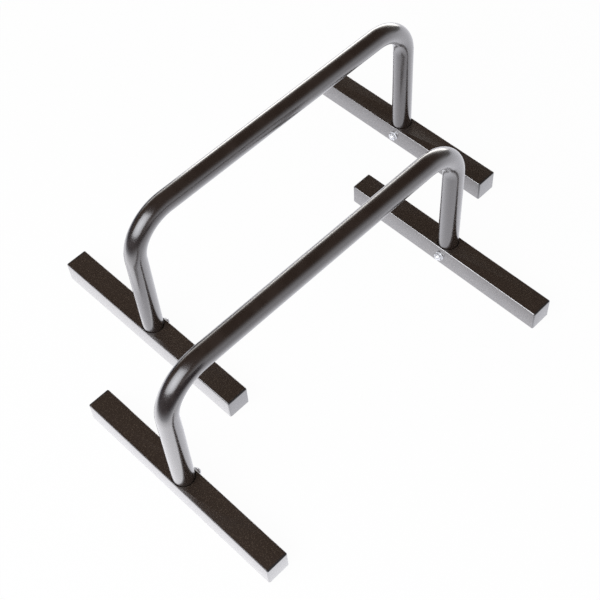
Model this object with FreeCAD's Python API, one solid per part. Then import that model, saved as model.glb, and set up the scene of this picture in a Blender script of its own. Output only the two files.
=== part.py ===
import FreeCAD, Part
import math
import os

from FreeCAD import Vector

# A pair of low gymnastics bars. Each is one round steel tube bent to a U, whose legs drop into
# two square-section feet and are held there by a bolt from the inner side of the foot.
# X runs along the grips, Y across them along the feet, and Z up from the floor.
# The origin is on the floor, midway between the two bars.

# Driving sizes in millimetres, angles in degrees

# The pair on the floor
bar_spacing = 240.0           # from one grip to the other
bar_stagger = 150.0           # how far the left bar stands ahead of the right one

# Bent tube
leg_spacing = 600.0           # between the two leg axes
grip_top = 305.0              # from the floor to the top of the grip
tube_diameter = 35.0
tube_wall = 2.0
bend_radius = 72.0            # to the middle of the tube

# Feet
foot_length = 400.0           # over both end caps
foot_height = 40.0
foot_wall = 1.5
foot_corner = 2.0             # radius of the long outer edges
foot_bore_corner = 1.0        # radius of the long inner edges, which the leg stands clear of
leg_hole_clearance = 0.75     # round the leg in the foot's top wall

# End caps
cap_flange = 3.0              # thickness outside the tube
cap_edge = 1.2                # rounding of the outer rim
cap_sleeve = 14.0             # how far the cap reaches into the tube
cap_wall = 2.0
cap_clearance = 0.15          # from the sleeve to the tube's walls

# Bolts, washers and weld nuts
bolt_diameter = 8.0
bolt_length = 16.0            # under the head
bolt_point = 1.0              # chamfer at the end of the shank
bolt_clearance = 0.5          # round the shank in the foot and the leg
hex_ring = 2.5                # metal from the thread to the flats, on head and nut
hex_chamfer_angle = 30.0
head_height = 4.6             # of the hexagon, without its dome
dome_inset = 0.8              # from the hexagon's flats to the foot of the dome
dome_height = 3.8
washer_ring = 4.2             # metal from the thread to the rim
washer_thickness = 1.6
washer_clearance = 0.2
nut_height = 6.5
thread_clearance = 0.05
weld_gap = 0.1                # from the nut to the leg's bore

overrun = 5.0                 # how far cutting shapes stand past what they cut

# Sizes that follow
tube_radius = tube_diameter / 2
bore_radius = tube_radius - tube_wall
grip_axis = grip_top - tube_radius
bend_start = grip_axis - bend_radius
foot_width = tube_diameter + 2 * (foot_bore_corner + foot_wall)
foot_tube_length = foot_length - 2 * cap_flange
bolt_radius = bolt_diameter / 2
bolt_axis = foot_height / 2
hex_width = bolt_diameter + 2 * hex_ring

up = Vector(0, 0, 1)
origin = Vector(0, 0, 0)
half_turn = 180.0
quarter_turn = 90.0


def box_bar(width, height, length, corner):
    """A bar along Y on the floor plane, centred in X and Y, with its four long edges rounded."""
    bar = Part.makeBox(width, length, height, Vector(-width / 2, -length / 2, 0))
    long_edges = [edge for edge in bar.Edges
                  if edge.BoundBox.YLength > edge.BoundBox.XLength + edge.BoundBox.ZLength]
    return bar.makeFillet(corner, long_edges)


def hexagon_bar(width, height, base):
    """A hexagon along Z, measured across its flats, that starts at the height base."""
    reach = width / math.sqrt(3)
    sixth = 2 * math.pi / 6
    corners = [Vector(reach * math.cos(step * sixth), reach * math.sin(step * sixth), base)
               for step in range(6)]
    outline = Part.makePolygon(corners + corners[:1])
    return Part.Face(outline).extrude(up * height)


def turned(shape, angle):
    """A copy turned about the bar's own upright middle line."""
    copy = shape.copy()
    copy.rotate(origin, up, angle)
    return copy


def moved(shape, x, y, z):
    copy = shape.copy()
    copy.translate(Vector(x, y, z))
    return copy


def fastener_place(shape):
    """Moves a fastener from its own axis, Z out of the foot, to the front foot's inner side."""
    copy = shape.copy()
    copy.rotate(origin, Vector(0, 1, 0), -quarter_turn)
    copy.translate(Vector((leg_spacing - foot_width) / 2, 0, bolt_axis))
    return copy


def handle():
    """Grip and legs: a round tube along an upside-down U, standing on the floors of the feet."""
    leg = leg_spacing / 2
    bend_middle = leg - bend_radius
    bend_reach = bend_radius * math.cos(math.radians(quarter_turn / 2))
    path = Part.Wire([
        Part.LineSegment(Vector(-leg, 0, foot_wall), Vector(-leg, 0, bend_start)).toShape(),
        Part.Arc(Vector(-leg, 0, bend_start),
                 Vector(-bend_middle - bend_reach, 0, bend_start + bend_reach),
                 Vector(-bend_middle, 0, grip_axis)).toShape(),
        Part.LineSegment(Vector(-bend_middle, 0, grip_axis), Vector(bend_middle, 0, grip_axis)).toShape(),
        Part.Arc(Vector(bend_middle, 0, grip_axis),
                 Vector(bend_middle + bend_reach, 0, bend_start + bend_reach),
                 Vector(leg, 0, bend_start)).toShape(),
        Part.LineSegment(Vector(leg, 0, bend_start), Vector(leg, 0, foot_wall)).toShape(),
    ])
    rims = [Part.Wire(Part.makeCircle(radius, Vector(-leg, 0, foot_wall), up))
            for radius in (tube_radius, bore_radius)]
    ring = Part.makeFace(rims, "Part::FaceMakerBullseye")
    tube = path.makePipe(ring)

    # One bolt hole in the inner wall of each leg
    drill_reach = leg - bore_radius + overrun
    drill = Part.makeCylinder(bolt_radius + bolt_clearance, 2 * drill_reach,
                              Vector(-drill_reach, 0, bolt_axis), Vector(1, 0, 0))
    return tube.cut(drill)


def foot_tube():
    """Front foot: a closed square tube with the leg's hole on top and the bolt's hole inside."""
    tube = box_bar(foot_width, foot_height, foot_tube_length, foot_corner)
    bore = box_bar(foot_width - 2 * foot_wall, foot_height - 2 * foot_wall,
                   foot_tube_length + 2 * overrun, foot_bore_corner)
    leg_hole = Part.makeCylinder(tube_radius + leg_hole_clearance, foot_height, Vector(0, 0, bolt_axis))
    bolt_hole = Part.makeCylinder(bolt_radius + bolt_clearance, foot_width / 2 + overrun,
                                  Vector(-foot_width / 2 - overrun, 0, bolt_axis), Vector(1, 0, 0))
    tube = tube.cut(moved(bore, 0, 0, foot_wall)).cut(leg_hole).cut(bolt_hole)
    return moved(tube, leg_spacing / 2, 0, 0)


def end_cap():
    """A cap for the left end of a foot that stands at the origin: rounded flange and hollow sleeve."""
    flange_middle = (foot_length - cap_flange) / 2
    flange = moved(box_bar(foot_width, foot_height, cap_flange, foot_corner), 0, flange_middle, 0)
    rim = [edge for edge in flange.Edges if edge.BoundBox.YMin > flange_middle]
    flange = flange.makeFillet(cap_edge, rim)

    inset = foot_wall + cap_clearance
    sleeve_width = foot_width - 2 * inset
    sleeve_height = foot_height - 2 * inset
    sleeve = moved(box_bar(sleeve_width, sleeve_height, cap_sleeve, foot_bore_corner),
                   0, (foot_tube_length - cap_sleeve) / 2, inset)
    hollow = Part.makeBox(sleeve_width - 2 * cap_wall, cap_sleeve + overrun, sleeve_height - 2 * cap_wall,
                          Vector(cap_wall - sleeve_width / 2, foot_tube_length / 2 - cap_sleeve - overrun,
                                 inset + cap_wall))
    return flange.fuse(sleeve.cut(hollow)).removeSplitter()


def bolt():
    """Bolt with a domed hexagon head, its washer's face on the foot at height zero."""
    reach = hex_width / 2 + head_height / math.tan(math.radians(hex_chamfer_angle))
    chamfer = Part.makeCone(reach, hex_width / 2, head_height, Vector(0, 0, washer_thickness))
    head = hexagon_bar(hex_width, head_height, washer_thickness).common(chamfer)

    dome_foot = hex_width / 2 - dome_inset
    dome_radius = (dome_foot ** 2 + dome_height ** 2) / (2 * dome_height)
    dome_low = math.degrees(math.asin((dome_radius - dome_height) / dome_radius))
    dome_middle = Vector(0, 0, washer_thickness + head_height + dome_height - dome_radius)
    dome = Part.makeSphere(dome_radius, dome_middle, up, dome_low, quarter_turn)

    shank_end = washer_thickness - bolt_length
    shank = Part.makeCylinder(bolt_radius, bolt_length - bolt_point, Vector(0, 0, shank_end + bolt_point))
    point = Part.makeCone(bolt_radius - bolt_point, bolt_radius, bolt_point, Vector(0, 0, shank_end))
    return fastener_place(head.fuse([dome, shank, point]).removeSplitter())


def washer():
    rim = Part.makeCylinder(bolt_radius + washer_ring, washer_thickness)
    hole = Part.makeCylinder(bolt_radius + washer_clearance, washer_thickness)
    return fastener_place(rim.cut(hole))


def weld_nut():
    """Hexagon nut inside the leg, its outer face shaped to the leg's bore."""
    leg_axis = Vector(-foot_width, 0, -foot_width / 2)
    bore = Part.makeCylinder(bore_radius - weld_gap, 2 * foot_width, leg_axis, Vector(1, 0, 0))
    nut_base = bore_radius - foot_width / 2 - nut_height
    body = hexagon_bar(hex_width, nut_height, nut_base).common(bore)
    thread = Part.makeCylinder(bolt_radius + thread_clearance, foot_width, Vector(0, 0, -foot_width))
    return fastener_place(body.cut(thread))


def bar_pieces():
    """All pieces of one bar that stands at the origin, by name."""
    cap = end_cap()
    front_caps = [moved(turned(cap, angle), leg_spacing / 2, 0, 0) for angle in (0, half_turn)]
    pieces = {"handle": handle()}
    for end, angle, cap_sides in (("front", 0, ("left", "right")), ("rear", half_turn, ("right", "left"))):
        pieces[end + "_foot"] = turned(foot_tube(), angle)
        for side, front_cap in zip(cap_sides, front_caps):
            pieces[end + "_foot_" + side + "_cap"] = turned(front_cap, angle)
        pieces[end + "_bolt"] = turned(bolt(), angle)
        pieces[end + "_washer"] = turned(washer(), angle)
        pieces[end + "_nut"] = turned(weld_nut(), angle)
    return pieces


def main():
    os.makedirs("parts", exist_ok=True)
    for side, direction in (("right", -1), ("left", 1)):
        for name, shape in bar_pieces().items():
            node = side + "_bar_" + name
            placed = moved(shape, direction * bar_stagger / 2, direction * bar_spacing / 2, 0)
            placed.exportStep("parts/" + node + ".step")
            print(node, len(placed.Solids), placed.isValid(), round(placed.Volume))


main()
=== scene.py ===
import math

import bmesh
import bpy
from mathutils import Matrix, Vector


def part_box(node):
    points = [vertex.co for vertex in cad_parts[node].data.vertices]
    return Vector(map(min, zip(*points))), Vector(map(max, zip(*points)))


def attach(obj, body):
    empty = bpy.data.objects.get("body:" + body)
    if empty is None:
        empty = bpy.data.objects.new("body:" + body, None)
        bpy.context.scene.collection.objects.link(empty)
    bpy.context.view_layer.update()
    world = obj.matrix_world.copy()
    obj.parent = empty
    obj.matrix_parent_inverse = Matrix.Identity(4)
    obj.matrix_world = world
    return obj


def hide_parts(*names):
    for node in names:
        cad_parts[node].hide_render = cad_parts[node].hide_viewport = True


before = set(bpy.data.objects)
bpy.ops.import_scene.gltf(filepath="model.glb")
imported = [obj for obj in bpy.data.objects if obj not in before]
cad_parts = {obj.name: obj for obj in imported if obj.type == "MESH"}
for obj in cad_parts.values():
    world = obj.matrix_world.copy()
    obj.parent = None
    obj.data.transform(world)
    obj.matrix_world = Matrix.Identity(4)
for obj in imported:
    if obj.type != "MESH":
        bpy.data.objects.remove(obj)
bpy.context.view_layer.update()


# Small helpers for modelling

roundSides = 96          # of holes, discs and cones
smoothAngle = 35.0       # degrees between faces that are shaded as one
facing = 0.9             # part of a face's normal along an axis, to count as facing that way
hair = 0.00002           # distance that counts as none
mergeReach = 0.00001     # points nearer than this become one


def nothingSelected():
    if bpy.context.object and bpy.context.object.mode != "OBJECT":
        bpy.ops.object.mode_set(mode="OBJECT")
    bpy.ops.object.select_all(action="DESELECT")


def onlySelected(piece):
    nothingSelected()
    piece.select_set(True)
    bpy.context.view_layer.objects.active = piece


def pickFaces(wanted):
    # edit mode: selects the faces that pass the test, and nothing else
    bpy.ops.mesh.select_mode(type="FACE")
    bpy.ops.mesh.select_all(action="DESELECT")
    mesh = bmesh.from_edit_mesh(bpy.context.object.data)
    for face in mesh.faces:
        face.select_set(wanted(face))
    bmesh.update_edit_mesh(bpy.context.object.data)


def pickEdges(wanted):
    bpy.ops.mesh.select_mode(type="EDGE")
    bpy.ops.mesh.select_all(action="DESELECT")
    mesh = bmesh.from_edit_mesh(bpy.context.object.data)
    for edge in mesh.edges:
        edge.select_set(wanted(edge))
    bmesh.update_edit_mesh(bpy.context.object.data)


def edgeRun(edge):
    return edge.verts[1].co - edge.verts[0].co


def settle():
    # takes the active object's place, turn and size into its mesh
    bpy.ops.object.transform_apply(location=True, rotation=True, scale=True)


def smooth(angle):
    bpy.ops.object.shade_smooth_by_angle(angle=math.radians(angle))


def addWall(piece, thickness):
    # gives an open skin its wall, inwards
    wall = piece.modifiers.new("wall", "SOLIDIFY")
    wall.thickness = thickness
    wall.offset = -1
    wall.use_even_offset = True
    bpy.ops.object.modifier_apply(modifier=wall.name)


def combine(piece, tool, operation):
    onlySelected(piece)
    cut = piece.modifiers.new("cut", "BOOLEAN")
    cut.operation = operation
    cut.solver = "EXACT"
    cut.object = tool
    bpy.ops.object.modifier_apply(modifier=cut.name)
    bpy.data.objects.remove(tool)


def drill(piece, radius, start, end):
    # a round hole along the line from start to end
    run = Vector(end) - Vector(start)
    nothingSelected()
    bpy.ops.mesh.primitive_cylinder_add(
        vertices=roundSides, radius=radius, depth=run.length,
        location=(Vector(start) + Vector(end)) / 2,
        rotation=run.to_track_quat("Z", "Y").to_euler())
    combine(piece, bpy.context.object, "DIFFERENCE")


def tidyMesh(piece, angle=smoothAngle):
    onlySelected(piece)
    settle()
    bpy.ops.object.mode_set(mode="EDIT")
    bpy.ops.mesh.select_all(action="SELECT")
    bpy.ops.mesh.remove_doubles(threshold=mergeReach)
    bpy.ops.mesh.normals_make_consistent(inside=False)
    bpy.ops.object.mode_set(mode="OBJECT")
    smooth(angle)


def copyTo(model, modelNode, node, name, turned):
    # a copy with its own mesh, half turned or not, where another CAD node is
    here = sum(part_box(modelNode), Vector()) / 2
    there = sum(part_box(node), Vector()) / 2
    onlySelected(model)
    bpy.ops.object.duplicate(linked=False)
    piece = bpy.context.object
    if turned:
        bpy.ops.transform.rotate(value=math.pi, orient_axis="Z", center_override=here)
    bpy.ops.transform.translate(value=there - here)
    settle()
    piece.name = piece.data.name = name
    return piece


def standFor(piece, node, body, slot):
    piece.data.materials.clear()
    piece.data.materials.append(paints[slot])
    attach(piece, body)
    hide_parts(node)


# Camera at the photograph's place, turned a little about its own view line

camera = {
    "place": (-0.7855, -0.8850, 1.6746),
    "looksAt": (-0.0664, -0.0643, 0.1200),
    "roll": -4.914,      # degrees
    "lens": 73.344,
    "sensor": 36.0,
    "sightEnd": 200.0,
}


def setCamera():
    data = bpy.data.cameras.new("photoCamera")
    data.sensor_fit = "HORIZONTAL"
    data.sensor_width = camera["sensor"]
    data.lens = camera["lens"]
    data.clip_end = camera["sightEnd"]
    view = bpy.data.objects.new("photoCamera", data)
    bpy.context.scene.collection.objects.link(view)
    aim = Vector(camera["looksAt"]) - Vector(camera["place"])
    view.location = camera["place"]
    view.rotation_euler = aim.to_track_quat("-Z", "Y").to_euler()
    view.rotation_euler.rotate_axis("Z", math.radians(camera["roll"]))
    bpy.context.scene.camera = view


setCamera()
print("camera set")


# Materials. All read Object coordinates, in metres.

noiseSpan = (0.3, 0.7)   # most of a noise lies between these


def startMaterial(name):
    material = bpy.data.materials.new(name)
    material.use_nodes = True
    tree = material.node_tree
    shader = tree.nodes["Principled BSDF"]
    place = tree.nodes.new("ShaderNodeTexCoord").outputs["Object"]
    return material, tree, shader, place


def feed(tree, value, socket):
    # numbers and colours are set on the socket, what a node gives is linked to it
    if isinstance(value, float):
        socket.default_value = value
    elif isinstance(value, tuple):
        socket.default_value = (*value, 1)
    else:
        tree.links.new(value, socket)


def addNoise(tree, place, scale, detail=2.0, rough=0.5):
    noise = tree.nodes.new("ShaderNodeTexNoise")
    noise.inputs["Scale"].default_value = scale
    noise.inputs["Detail"].default_value = detail
    noise.inputs["Roughness"].default_value = rough
    tree.links.new(place, noise.inputs["Vector"])
    return noise.outputs["Fac"]


def addRange(tree, value, low, high, toLow, toHigh):
    span = tree.nodes.new("ShaderNodeMapRange")
    span.interpolation_type = "SMOOTHSTEP"
    for label, number in (("From Min", low), ("From Max", high), ("To Min", toLow), ("To Max", toHigh)):
        span.inputs[label].default_value = number
    tree.links.new(value, span.inputs["Value"])
    return span.outputs["Result"]


def addMix(tree, share, first, second):
    mix = tree.nodes.new("ShaderNodeMix")
    mix.data_type = "RGBA"
    feed(tree, share, mix.inputs["Factor"])
    # 6 and 7 in, and 2 out, are the sockets for colours
    feed(tree, first, mix.inputs[6])
    feed(tree, second, mix.inputs[7])
    return mix.outputs[2]


def addBump(tree, height, strength, distance, below=None):
    bump = tree.nodes.new("ShaderNodeBump")
    feed(tree, strength, bump.inputs["Strength"])
    bump.inputs["Distance"].default_value = distance
    tree.links.new(height, bump.inputs["Height"])
    if below is not None:
        tree.links.new(below, bump.inputs["Normal"])
    return bump.outputs["Normal"]


def addMath(tree, operation, first, second):
    node = tree.nodes.new("ShaderNodeMath")
    node.operation = operation
    feed(tree, first, node.inputs[0])
    feed(tree, second, node.inputs[1])
    return node.outputs[0]


def addGloss(tree, shader, finish, patches=None, edge=None):
    # the same all over the surface, so set on the shader itself
    shader.inputs["Specular Tint"].default_value = (*finish["glint"], 1)
    shader.inputs["IOR"].default_value = finish["ior"]
    shader.inputs["Coat IOR"].default_value = finish["coatIor"]
    shader.inputs["Coat Roughness"].default_value = finish["coatRoughness"]
    # the coat shines much more at a low angle than face on
    slant = tree.nodes.new("ShaderNodeLayerWeight").outputs["Facing"]
    coat = addRange(tree, slant, *finish["lowAngle"], *finish["coatShare"])
    if patches is not None:
        coat = addMath(tree, "MULTIPLY", coat, patches)
    if edge is not None:
        coat = addMath(tree, "MAXIMUM", coat, edge)
    tree.links.new(coat, shader.inputs["Coat Weight"])


tubePaint = {
    "black": (0.0185, 0.0118, 0.0088),
    "thin": (0.0250, 0.0168, 0.0128),    # where the paint lies thinner
    "thinRange": (0.35, 0.7),            # of the noise, from thick to thin
    "cloudScale": 38.0,
    "cloudDetail": 3.0,
    "glint": (0.96, 0.96, 1.0),
    "ior": 1.6,
    "coatIor": 3.0,
    "lowAngle": (0.15, 0.65),            # of Layer Weight, from face on to a low angle
    "coatShare": (0.27, 1.0),
    "roughness": (0.24, 0.31),
    "coatRoughness": 0.20,
    "peelScale": 700.0,                  # orange peel of about 1.5 mm
    "peelDepth": 0.00004,
    "peelStrength": 0.06,
}


def makeTubePaint():
    material, tree, shader, place = startMaterial("tubePaint")
    cloud = addNoise(tree, place, tubePaint["cloudScale"], tubePaint["cloudDetail"])
    peel = addNoise(tree, place, tubePaint["peelScale"])
    thin = addRange(tree, cloud, *tubePaint["thinRange"], 0.0, 1.0)
    tree.links.new(addMix(tree, thin, tubePaint["black"], tubePaint["thin"]), shader.inputs["Base Color"])
    tree.links.new(addRange(tree, cloud, *noiseSpan, *tubePaint["roughness"]), shader.inputs["Roughness"])
    tree.links.new(addBump(tree, peel, tubePaint["peelStrength"], tubePaint["peelDepth"]),
                   shader.inputs["Normal"])
    addGloss(tree, shader, tubePaint)
    return material


footCoat = {
    "black": (0.0305, 0.0207, 0.0150),
    "fleck": (0.064, 0.0465, 0.034),
    "fleckScale": 480.0,
    "fleckRange": (0.56, 0.68),          # of the noise, from no fleck to a whole one
    "glint": (0.97, 0.97, 1.0),
    "ior": 1.6,
    "coatIor": 4.0,
    "lowAngle": (0.25, 0.60),
    "coatShare": (0.1, 1.0),
    "coatRange": (0.42, 0.58),           # of the grain, from dull to glossy
    "coatPatches": (0.75, 1.0),
    "edgeRise": (0.0380, 0.0386),        # heights between which the smooth top edge lies
    "edgeFall": (0.0396, 0.0399),
    "edgeGrain": (1.0, 0.15),            # strength of the grain, off the edge and on it
    "roughness": (0.24, 0.30),
    "coatRoughness": 0.20,
    "pebbleScale": 420.0,                # coarse grain of about 2.5 mm
    "pebbleDepth": 0.00012,
    "grainScale": 560.0,                 # finer grain on it
    "grainDepth": 0.00008,
    "detail": 1.0,                       # of all three noises
}


def makeFootCoat():
    material, tree, shader, place = startMaterial("footCoat")
    detail = footCoat["detail"]
    pebble = addNoise(tree, place, footCoat["pebbleScale"], detail)
    grain = addNoise(tree, place, footCoat["grainScale"], detail)
    speckle = addNoise(tree, place, footCoat["fleckScale"], detail)
    flecks = addRange(tree, speckle, *footCoat["fleckRange"], 0.0, 1.0)
    tree.links.new(addMix(tree, flecks, footCoat["black"], footCoat["fleck"]), shader.inputs["Base Color"])
    tree.links.new(addRange(tree, grain, *noiseSpan, *footCoat["roughness"]), shader.inputs["Roughness"])
    # the coat runs smooth and glossy over the rounded top edges
    split = tree.nodes.new("ShaderNodeSeparateXYZ")
    tree.links.new(place, split.inputs[0])
    edge = addMath(tree, "MULTIPLY", addRange(tree, split.outputs["Z"], *footCoat["edgeRise"], 0.0, 1.0),
                   addRange(tree, split.outputs["Z"], *footCoat["edgeFall"], 1.0, 0.0))
    strength = addRange(tree, edge, 0.0, 1.0, *footCoat["edgeGrain"])
    pebbled = addBump(tree, pebble, strength, footCoat["pebbleDepth"])
    tree.links.new(addBump(tree, grain, strength, footCoat["grainDepth"], pebbled), shader.inputs["Normal"])
    patches = addRange(tree, grain, *footCoat["coatRange"], *footCoat["coatPatches"])
    addGloss(tree, shader, footCoat, patches, edge)
    return material


capPlastic = {
    "black": (0.012, 0.011, 0.0105),
    "pale": (0.022, 0.020, 0.019),
    "flowScale": 90.0,
    "glint": (0.98, 0.98, 1.0),
    "ior": 1.6,
    "coatIor": 3.4,
    "lowAngle": (0.25, 0.55),
    "coatShare": (0.1, 1.0),
    "roughness": (0.30, 0.42),
    "coatRoughness": 0.25,
    "grainScale": 1400.0,
    "grainDepth": 0.00005,
    "grainStrength": 0.4,
}


def makeCapPlastic():
    material, tree, shader, place = startMaterial("capPlastic")
    grain = addNoise(tree, place, capPlastic["grainScale"])
    flow = addNoise(tree, place, capPlastic["flowScale"])
    tree.links.new(addMix(tree, flow, capPlastic["black"], capPlastic["pale"]), shader.inputs["Base Color"])
    tree.links.new(addRange(tree, grain, *noiseSpan, *capPlastic["roughness"]), shader.inputs["Roughness"])
    tree.links.new(addBump(tree, grain, capPlastic["grainStrength"], capPlastic["grainDepth"]),
                   shader.inputs["Normal"])
    addGloss(tree, shader, capPlastic)
    return material


brightZinc = {
    "bright": (0.92, 0.93, 0.95),
    "dull": (0.76, 0.77, 0.80),
    "metallic": 0.65,                    # the zinc has a thin white haze
    "roughness": (0.28, 0.44),
    "dullRange": (0.35, 0.7),            # of the noise, from bright to dull
    "spangleScale": 900.0,
    "spangleDetail": 3.0,
    "spangleDepth": 0.00003,
    "spangleStrength": 0.2,
}


def makeBrightZinc():
    material, tree, shader, place = startMaterial("brightZinc")
    spangle = addNoise(tree, place, brightZinc["spangleScale"], brightZinc["spangleDetail"])
    dull = addRange(tree, spangle, *brightZinc["dullRange"], 0.0, 1.0)
    tree.links.new(addMix(tree, dull, brightZinc["bright"], brightZinc["dull"]), shader.inputs["Base Color"])
    tree.links.new(addRange(tree, spangle, *noiseSpan, *brightZinc["roughness"]), shader.inputs["Roughness"])
    tree.links.new(addBump(tree, spangle, brightZinc["spangleStrength"], brightZinc["spangleDepth"]),
                   shader.inputs["Normal"])
    shader.inputs["Metallic"].default_value = brightZinc["metallic"]
    return material


plainSteel = {
    "steel": (0.46, 0.45, 0.44),
    "scale": (0.24, 0.23, 0.22),
    "roughness": (0.35, 0.60),
    "scaleRange": (0.4, 0.65),           # of the noise, from clean steel to mill scale
    "patchScale": 420.0,
    "patchDetail": 4.0,
    "patchRough": 0.6,
    "patchDepth": 0.00008,
    "patchStrength": 0.3,
}


def makePlainSteel():
    material, tree, shader, place = startMaterial("plainSteel")
    patch = addNoise(tree, place, plainSteel["patchScale"],
                     plainSteel["patchDetail"], plainSteel["patchRough"])
    scale = addRange(tree, patch, *plainSteel["scaleRange"], 0.0, 1.0)
    tree.links.new(addMix(tree, scale, plainSteel["steel"], plainSteel["scale"]), shader.inputs["Base Color"])
    tree.links.new(addRange(tree, patch, *noiseSpan, *plainSteel["roughness"]), shader.inputs["Roughness"])
    tree.links.new(addBump(tree, patch, plainSteel["patchStrength"], plainSteel["patchDepth"]),
                   shader.inputs["Normal"])
    shader.inputs["Metallic"].default_value = 1.0
    return material


paints = {
    "tube_paint": makeTubePaint(),
    "foot_coat": makeFootCoat(),
    "cap_plastic": makeCapPlastic(),
    "bright_zinc": makeBrightZinc(),
    "plain_steel": makePlainSteel(),
}
print("materials made:", len(paints))


# Handle: one ring of the tube pulled up the front leg, round the bends and down the rear leg

handleTube = {
    "radius": 0.0175,
    "wall": 0.002,
    "bendRadius": 0.072,     # to the middle of the tube
    "sides": 96,
    "bendSteps": 40,
    "boltHole": 0.0045,      # radius
    "boltHeight": 0.020,
}


def makeHandle(node):
    low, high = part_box(node)
    radius, bend = handleTube["radius"], handleTube["bendRadius"]
    frontLeg, rearLeg = high.x - radius, low.x + radius
    middle = (low.y + high.y) / 2
    bendStart = high.z - radius - bend
    nothingSelected()
    bpy.ops.mesh.primitive_circle_add(vertices=handleTube["sides"], radius=radius,
                                      location=(frontLeg, middle, low.z))
    tube = bpy.context.object
    settle()
    bpy.ops.object.mode_set(mode="EDIT")
    bpy.ops.mesh.select_all(action="SELECT")
    legRise = bendStart - low.z
    gripRun = frontLeg - rearLeg - 2 * bend
    quarter = {"steps": handleTube["bendSteps"], "angle": math.radians(90), "axis": (0, 1, 0)}
    bpy.ops.mesh.extrude_region_move(TRANSFORM_OT_translate={"value": (0, 0, legRise)})
    bpy.ops.mesh.spin(center=(frontLeg - bend, middle, bendStart), **quarter)
    bpy.ops.mesh.extrude_region_move(TRANSFORM_OT_translate={"value": (-gripRun, 0, 0)})
    bpy.ops.mesh.spin(center=(rearLeg + bend, middle, bendStart), **quarter)
    bpy.ops.mesh.extrude_region_move(TRANSFORM_OT_translate={"value": (0, 0, -legRise)})
    bpy.ops.mesh.select_all(action="SELECT")
    bpy.ops.mesh.remove_doubles(threshold=mergeReach)
    bpy.ops.mesh.normals_make_consistent(inside=False)
    bpy.ops.object.mode_set(mode="OBJECT")
    addWall(tube, handleTube["wall"])
    # bolt holes in the inner walls of the legs, from inside the bore to clear of the tube
    holeHeight = handleTube["boltHeight"]
    for leg, inner in ((frontLeg, -1), (rearLeg, 1)):
        drill(tube, handleTube["boltHole"], (leg + inner * radius / 2, middle, holeHeight),
              (leg + inner * radius * 1.5, middle, holeHeight))
    onlySelected(tube)
    smooth(smoothAngle)
    tube.name = tube.data.name = "rightHandleTube"
    return tube


# Feet: square tube with rounded long edges, a round hole for the leg and a bolt hole

footTube = {
    "corner": 0.002,
    "cornerSteps": 6,
    "wall": 0.0015,
    "legHole": 0.01825,      # radius
    "boltHole": 0.0045,      # radius
    "holeRim": 0.0004,       # rounding of the leg hole's edge
    "holeRimSteps": 3,
}


def makeFoot(node):
    low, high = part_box(node)
    middle = (low + high) / 2
    nothingSelected()
    bpy.ops.mesh.primitive_cube_add(size=1, location=middle, scale=high - low)
    foot = bpy.context.object
    settle()
    bpy.ops.object.mode_set(mode="EDIT")
    pickEdges(lambda edge: abs(edgeRun(edge).y) > footTube["corner"])
    bpy.ops.mesh.bevel(offset=footTube["corner"], segments=footTube["cornerSteps"], affect="EDGES")
    pickFaces(lambda face: abs(face.normal.y) > facing)
    bpy.ops.mesh.delete(type="ONLY_FACE")
    bpy.ops.object.mode_set(mode="OBJECT")
    addWall(foot, footTube["wall"])
    drill(foot, footTube["legHole"], middle, (middle.x, middle.y, high.z + middle.z))
    drill(foot, footTube["boltHole"], middle, (low.x - middle.z, middle.y, middle.z))
    # break the sharp edge of the leg's hole
    onlySelected(foot)
    bpy.ops.object.mode_set(mode="EDIT")

    def onRim(vertex):
        reach = math.hypot(vertex.co.x - middle.x, vertex.co.y - middle.y)
        return abs(reach - footTube["legHole"]) < hair and vertex.co.z > high.z - footTube["wall"] / 2

    pickEdges(lambda edge: all(onRim(vertex) for vertex in edge.verts))
    bpy.ops.mesh.bevel(offset=footTube["holeRim"], segments=footTube["holeRimSteps"], affect="EDGES")
    bpy.ops.object.mode_set(mode="OBJECT")
    smooth(smoothAngle)
    foot.name = foot.data.name = "rightFrontFootTube"
    return foot


# End plugs: rounded flange outside the foot, hollow sleeve inside it

endPlug = {
    "flange": 0.003,
    "corner": 0.002,         # along the foot and round the outer face
    "endCorner": 0.0028,     # of the two upright edges
    "cornerSteps": 6,
    "sleeveGap": 0.00165,    # from the flange's outline to the sleeve
    "sleeveWall": 0.002,
    "sleeveFloor": 0.00075,  # left in the sleeve behind its hollow
}


def makePlug(node):
    low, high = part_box(node)
    flange = endPlug["flange"]
    sleeve = high.y - low.y - flange
    middle = (low + high) / 2
    nothingSelected()
    bpy.ops.mesh.primitive_cube_add(size=1, location=(middle.x, high.y - flange / 2, middle.z),
                                    scale=(high.x - low.x, flange, high.z - low.z))
    plug = bpy.context.object
    settle()
    bpy.ops.object.mode_set(mode="EDIT")
    outer = high.y - flange / 2
    pickEdges(lambda edge: abs(edgeRun(edge).z) > flange and edge.verts[0].co.y > outer)
    bpy.ops.mesh.bevel(offset=endPlug["endCorner"], segments=endPlug["cornerSteps"], affect="EDGES")
    # round the top and bottom outlines, but not where they meet the foot
    inner = high.y - flange + hair
    pickEdges(lambda edge: abs(edgeRun(edge).z) < flange / 2 and any(v.co.y > inner for v in edge.verts))
    bpy.ops.mesh.bevel(offset=endPlug["corner"], segments=endPlug["cornerSteps"], affect="EDGES")
    # sleeve and its hollow, from the inner face
    pickFaces(lambda face: face.normal.y < -facing)
    bpy.ops.mesh.inset(thickness=endPlug["sleeveGap"], depth=0)
    bpy.ops.mesh.extrude_region_move(TRANSFORM_OT_translate={"value": (0, -sleeve, 0)})
    bpy.ops.mesh.inset(thickness=endPlug["sleeveWall"], depth=0)
    hollow = sleeve - endPlug["sleeveFloor"]
    bpy.ops.mesh.extrude_region_move(TRANSFORM_OT_translate={"value": (0, hollow, 0)})
    bpy.ops.object.mode_set(mode="OBJECT")
    tidyMesh(plug)
    plug.name = plug.data.name = "rightFrontFootLeftPlug"
    return plug


# Bolts: hexagon with its corners turned off, a dome on it and the shank under it

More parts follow.
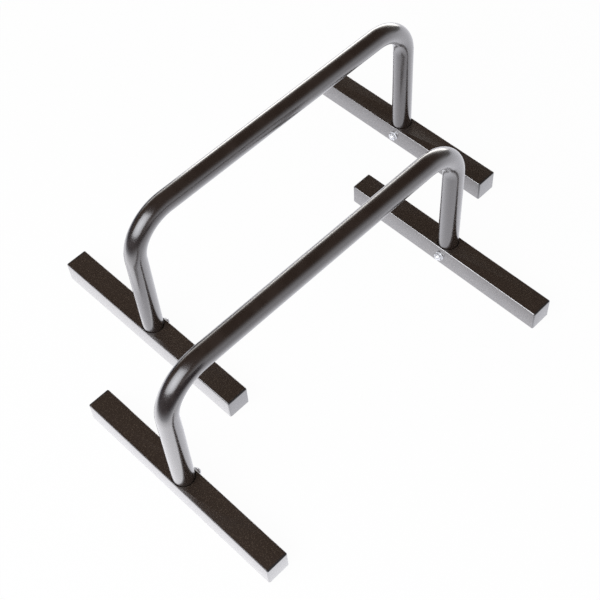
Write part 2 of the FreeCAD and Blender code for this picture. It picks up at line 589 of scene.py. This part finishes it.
domeBolt = {
    "acrossFlats": 0.013,
    "turn": 30.0,            # degrees, which brings a corner to the top
    "headHeight": 0.0046,
    "chamferAngle": 30.0,
    "domeFoot": 0.0057,      # radius where the dome meets the hexagon
    "domeHeight": 0.0038,
    "shank": 0.004,          # radius
    "point": 0.001,
    "domeSides": 64,
    "domeRings": 48,
    "shankSides": 64,
    "smoothAngle": 25.0,     # less than elsewhere, which keeps the head's edges crisp
}


def makeBolt(node):
    # built along X at the node's place, head towards -X
    low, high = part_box(node)
    axis = (low + high) / 2
    flat = domeBolt["acrossFlats"] / 2
    headHeight, domeHeight, shank = domeBolt["headHeight"], domeBolt["domeHeight"], domeBolt["shank"]
    domeStart = low.x + domeHeight
    headEnd = domeStart + headHeight
    lying = (0, -math.radians(90), 0)
    nothingSelected()
    bpy.ops.mesh.primitive_cylinder_add(vertices=6, radius=2 * flat / math.sqrt(3), depth=headHeight,
                                        location=(domeStart + headHeight / 2, axis.y, axis.z), rotation=lying)
    bolt = bpy.context.object
    bpy.ops.transform.rotate(value=math.radians(domeBolt["turn"]), orient_axis="X", center_override=axis)
    settle()
    reach = flat + headHeight / math.tan(math.radians(domeBolt["chamferAngle"]))
    nothingSelected()
    bpy.ops.mesh.primitive_cone_add(vertices=roundSides, radius1=reach, radius2=flat, depth=headHeight,
                                    location=(domeStart + headHeight / 2, axis.y, axis.z), rotation=lying)
    combine(bolt, bpy.context.object, "INTERSECT")
    # dome: a sphere cut off at the hexagon's top
    foot = domeBolt["domeFoot"]
    ball = (foot ** 2 + domeHeight ** 2) / (2 * domeHeight)
    nothingSelected()
    bpy.ops.mesh.primitive_uv_sphere_add(segments=domeBolt["domeSides"], ring_count=domeBolt["domeRings"],
                                         radius=ball, location=(low.x + ball, axis.y, axis.z), rotation=lying)
    settle()
    bpy.ops.object.mode_set(mode="EDIT")
    bpy.ops.mesh.select_all(action="SELECT")
    bpy.ops.mesh.bisect(plane_co=(domeStart + headHeight / 2, 0, 0), plane_no=(1, 0, 0),
                        use_fill=True, clear_outer=True)
    bpy.ops.object.mode_set(mode="OBJECT")
    combine(bolt, bpy.context.object, "UNION")
    nothingSelected()
    rodStart = headEnd - headHeight / 2
    bpy.ops.mesh.primitive_cylinder_add(vertices=domeBolt["shankSides"], radius=shank,
                                        depth=high.x - rodStart,
                                        location=((high.x + rodStart) / 2, axis.y, axis.z), rotation=lying)
    rod = bpy.context.object
    settle()
    bpy.ops.object.mode_set(mode="EDIT")
    pickEdges(lambda edge: all(vertex.co.x > high.x - domeBolt["point"] / 2 for vertex in edge.verts))
    bpy.ops.mesh.bevel(offset=domeBolt["point"], segments=1, affect="EDGES")
    bpy.ops.object.mode_set(mode="OBJECT")
    combine(bolt, rod, "UNION")
    tidyMesh(bolt, domeBolt["smoothAngle"])
    bolt.name = bolt.data.name = "rightFrontBolt"
    return bolt


# Washers: a disc, its two faces inset and bridged into a hole, its rims softened

flatWasher = {
    "hole": 0.0042,          # radius
    "edge": 0.0003,
    "edgeSteps": 3,
    "sharp": 60.0,           # degrees between faces at the rims
}


def makeWasher(node):
    low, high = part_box(node)
    middle = (low + high) / 2
    outer = (high.z - low.z) / 2
    nothingSelected()
    bpy.ops.mesh.primitive_cylinder_add(vertices=roundSides, radius=outer, depth=high.x - low.x,
                                        location=middle, rotation=(0, math.radians(90), 0))
    washer = bpy.context.object
    settle()
    bpy.ops.object.mode_set(mode="EDIT")
    pickFaces(lambda face: abs(face.normal.x) > facing)
    bpy.ops.mesh.inset(thickness=outer - flatWasher["hole"], depth=0)
    bpy.ops.mesh.bridge_edge_loops()
    bpy.ops.mesh.select_mode(type="EDGE")
    bpy.ops.mesh.select_all(action="DESELECT")
    bpy.ops.mesh.edges_select_sharp(sharpness=math.radians(flatWasher["sharp"]))
    bpy.ops.mesh.bevel(offset=flatWasher["edge"], segments=flatWasher["edgeSteps"], affect="EDGES")
    bpy.ops.object.mode_set(mode="OBJECT")
    tidyMesh(washer)
    washer.name = washer.data.name = "rightFrontWasher"
    return washer


handleModel = makeHandle("right_bar_handle")
print("handle bent:", len(handleModel.data.polygons), "faces")
footModel = makeFoot("right_bar_front_foot")
print("foot made:", len(footModel.data.polygons), "faces")
plugModel = makePlug("right_bar_front_foot_left_cap")
print("end plug made:", len(plugModel.data.polygons), "faces")
boltModel = makeBolt("right_bar_front_bolt")
print("bolt made:", len(boltModel.data.polygons), "faces")
washerModel = makeWasher("right_bar_front_washer")
print("washer made:", len(washerModel.data.polygons), "faces")


# Every piece is copied from its model to where its CAD node is

def placeAll():
    for side in ("right", "left"):
        bar = side + "_bar"
        node = bar + "_handle"
        tube = handleModel
        if side == "left":
            tube = copyTo(handleModel, "right_bar_handle", node, "leftHandleTube", False)
        standFor(tube, node, bar, "tube_paint")
        for end in ("front", "rear"):
            first = side == "right" and end == "front"
            label = side + end.capitalize()
            turned = end == "rear"
            for model, modelNode, part, name, slot in (
                    (footModel, "right_bar_front_foot", "foot", "FootTube", "foot_coat"),
                    (boltModel, "right_bar_front_bolt", "bolt", "Bolt", "bright_zinc"),
                    (washerModel, "right_bar_front_washer", "washer", "Washer", "bright_zinc")):
                node = bar + "_" + end + "_" + part
                piece = model if first else copyTo(model, modelNode, node, label + name, turned)
                standFor(piece, node, bar, slot)
            for hand in ("left", "right"):
                node = bar + "_" + end + "_foot_" + hand + "_cap"
                piece = plugModel
                if not (first and hand == "left"):
                    piece = copyTo(plugModel, "right_bar_front_foot_left_cap", node,
                                   label + "Foot" + hand.capitalize() + "Plug", hand == "right")
                standFor(piece, node, bar, "cap_plastic")
            # the weld nuts stay as they are, inside the legs
            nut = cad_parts[bar + "_" + end + "_nut"]
            for slot in nut.material_slots:
                slot.material = paints["plain_steel"]


placeAll()


# Floor, room and lamps

studio = {
    "floorSize": 160.0,
    "floorWhite": (0.90, 0.90, 0.90),
    "whiteShare": 0.97,                  # of the floor's own white, the rest takes light and shadow
    "plainWhite": (1.0, 1.0, 1.0),
    "mirrorWhite": (1.02, 1.02, 1.08),   # of the floor as the gloss shows it
    "roomSize": 6.0,                     # radius of the canopy over the floor
    "roomSides": 48,
    "roomRings": 24,
    "ceiling": (0.075, 0.055, 0.044),
}

# walls of soft light: which way they stand, how far round they reach, where they fade upwards
roomWalls = (
    {"way": (1.00, 0.00, 0.0), "round": (0.20, 0.80), "top": (0.10, 0.75), "light": (0.20, 0.196, 0.192)},
    {"way": (0.25, -0.97, 0.0), "round": (0.50, 0.95), "top": (-0.05, 0.95), "light": (1.22, 1.23, 1.29)},
    {"way": (0.57, 0.82, 0.0), "round": (0.60, 0.90), "top": (0.10, 0.52), "light": (2.05, 2.0, 1.92)},
)

softbox = {
    "place": (-2.33, -0.18, 2.0),
    "aim": (-0.3, 0.0, 0.2),
    "size": (4.0, 2.6),
    "spread": 110.0,                     # degrees, which softens its edge
    "colour": (0.94, 0.96, 1.0),
    "power": 62.0,
}

backLight = {
    "place": (1.75, 1.60, 0.30),
    "aim": (0.1, 0.0, 0.2),
    "size": (2.8, 0.58),
    "spread": 180.0,
    "colour": (1.0, 0.975, 0.94),
    "power": 11.7,
}

# weak lamps lying on the floor, which make it a little lighter beside the rear feet
litFloor = {
    "height": 0.0005,
    "aimHeight": 1.0,
    "spread": 180.0,
    "colour": (1.0, 1.0, 1.0),
    "lamps": {
        "litTable": {"middle": (-0.53, -0.05), "size": (0.34, 1.3), "power": 0.62},
        "litStrip": {"middle": (-0.2575, 0.135), "size": (0.025, 0.43), "power": 0.0153},
        "litCorner": {"middle": (-0.3475, -0.42), "size": (0.025, 0.20), "power": 0.0070},
    },
}

# dark card round the rear ends of the bars, which shows only in the gloss
darkCard = {
    "middle": (-0.05, 0.10),
    "radius": 0.65,
    "height": 0.36,
    "open": (0.966, -0.259, 0.0),        # the way that its open side faces
    "white": (0.92, 0.94, 1.00),         # at its foot, like the floor
    "grey": (0.040, 0.049, 0.072),
    "fade": (0.0, 0.17),                 # height over which white turns to grey
}


def startStudio(name):
    material = bpy.data.materials.new(name)
    material.use_nodes = True
    tree = material.node_tree
    tree.nodes.clear()
    surface = tree.nodes.new("ShaderNodeOutputMaterial").inputs["Surface"]
    return material, tree, surface


def makeFloor():
    # the camera and the gloss see the floor's own white, everything else sees it lit
    nothingSelected()
    bpy.ops.mesh.primitive_plane_add(size=studio["floorSize"], location=(0, 0, 0))
    floor = bpy.context.object
    floor.name = floor.data.name = "studioFloor"
    material, tree, surface = startStudio("studioFloor")
    matt = tree.nodes.new("ShaderNodeBsdfDiffuse")
    feed(tree, studio["floorWhite"], matt.inputs["Color"])
    ray = tree.nodes.new("ShaderNodeLightPath").outputs
    white = tree.nodes.new("ShaderNodeEmission")
    tree.links.new(addMix(tree, ray["Is Glossy Ray"], studio["plainWhite"], studio["mirrorWhite"]),
                   white.inputs["Color"])
    seen = addMath(tree, "ADD", ray["Is Camera Ray"], ray["Is Glossy Ray"])
    mix = tree.nodes.new("ShaderNodeMixShader")
    tree.links.new(addMath(tree, "MULTIPLY", seen, studio["whiteShare"]), mix.inputs["Fac"])
    tree.links.new(matt.outputs[0], mix.inputs[1])
    tree.links.new(white.outputs[0], mix.inputs[2])
    tree.links.new(mix.outputs[0], surface)
    floor.data.materials.append(material)


def makeRoom():
    # a white background for the camera, and round the set a dim canopy that the gloss shows
    world = bpy.data.worlds.new("background")
    bpy.context.scene.world = world
    world.use_nodes = True
    feed(world.node_tree, studio["plainWhite"], world.node_tree.nodes["Background"].inputs["Color"])
    nothingSelected()
    bpy.ops.mesh.primitive_uv_sphere_add(segments=studio["roomSides"], ring_count=studio["roomRings"],
                                         radius=studio["roomSize"])
    room = bpy.context.object
    room.name = room.data.name = "studioRoom"
    bpy.ops.object.mode_set(mode="EDIT")
    bpy.ops.mesh.select_all(action="SELECT")
    bpy.ops.mesh.bisect(plane_co=(0, 0, 0), plane_no=(0, 0, 1), clear_inner=True)
    bpy.ops.object.mode_set(mode="OBJECT")
    material, tree, surface = startStudio("studioRoom")
    way = tree.nodes.new("ShaderNodeVectorMath")
    way.operation = "NORMALIZE"
    tree.links.new(tree.nodes.new("ShaderNodeTexCoord").outputs["Object"], way.inputs[0])
    split = tree.nodes.new("ShaderNodeSeparateXYZ")
    tree.links.new(way.outputs[0], split.inputs[0])
    light = studio["ceiling"]
    for wall in roomWalls:
        side = tree.nodes.new("ShaderNodeVectorMath")
        side.operation = "DOT_PRODUCT"
        side.inputs[1].default_value = wall["way"]
        tree.links.new(way.outputs[0], side.inputs[0])
        share = addMath(tree, "MULTIPLY", addRange(tree, side.outputs["Value"], *wall["round"], 0.0, 1.0),
                        addRange(tree, split.outputs["Z"], *wall["top"], 1.0, 0.0))
        light = addMix(tree, share, light, wall["light"])
    glow = tree.nodes.new("ShaderNodeEmission")
    tree.links.new(light, glow.inputs["Color"])
    tree.links.new(glow.outputs[0], surface)
    room.data.materials.append(material)
    room.visible_camera = False


def makeLamp(name, lamp):
    data = bpy.data.lights.new(name, "AREA")
    data.shape = "RECTANGLE"
    data.size, data.size_y = lamp["size"]
    data.spread = math.radians(lamp["spread"])
    data.color = lamp["colour"]
    data.energy = lamp["power"]
    light = bpy.data.objects.new(name, data)
    bpy.context.scene.collection.objects.link(light)
    light.location = lamp["place"]
    light.rotation_euler = (Vector(lamp["aim"]) - light.location).to_track_quat("-Z", "Y").to_euler()
    light.visible_camera = False


def makeLitFloor():
    for name, lamp in litFloor["lamps"].items():
        x, y = lamp["middle"]
        makeLamp(name, {"place": (x, y, litFloor["height"]), "aim": (x, y, litFloor["aimHeight"]),
                        "size": lamp["size"], "spread": litFloor["spread"],
                        "colour": litFloor["colour"], "power": lamp["power"]})


def makeDarkCard():
    nothingSelected()
    middle = (*darkCard["middle"], darkCard["height"] / 2)
    bpy.ops.mesh.primitive_cylinder_add(vertices=roundSides, radius=darkCard["radius"],
                                        depth=darkCard["height"], end_fill_type="NOTHING", location=middle)
    card = bpy.context.object
    card.name = card.data.name = "darkCard"
    settle()
    bpy.ops.object.mode_set(mode="EDIT")
    bpy.ops.mesh.select_all(action="SELECT")
    bpy.ops.mesh.bisect(plane_co=middle, plane_no=darkCard["open"], clear_outer=True)
    bpy.ops.object.mode_set(mode="OBJECT")
    material, tree, surface = startStudio("darkCard")
    split = tree.nodes.new("ShaderNodeSeparateXYZ")
    tree.links.new(tree.nodes.new("ShaderNodeTexCoord").outputs["Object"], split.inputs[0])
    dark = addRange(tree, split.outputs["Z"], *darkCard["fade"], 0.0, 1.0)
    glow = tree.nodes.new("ShaderNodeEmission")
    tree.links.new(addMix(tree, dark, darkCard["white"], darkCard["grey"]), glow.inputs["Color"])
    tree.links.new(glow.outputs[0], surface)
    card.data.materials.append(material)
    card.visible_camera = card.visible_diffuse = card.visible_shadow = False


makeFloor()
makeRoom()
makeLamp("softbox", softbox)
makeLamp("backLight", backLight)
makeLitFloor()
makeDarkCard()
bpy.context.scene.view_settings.view_transform = "Standard"
print("studio lit")
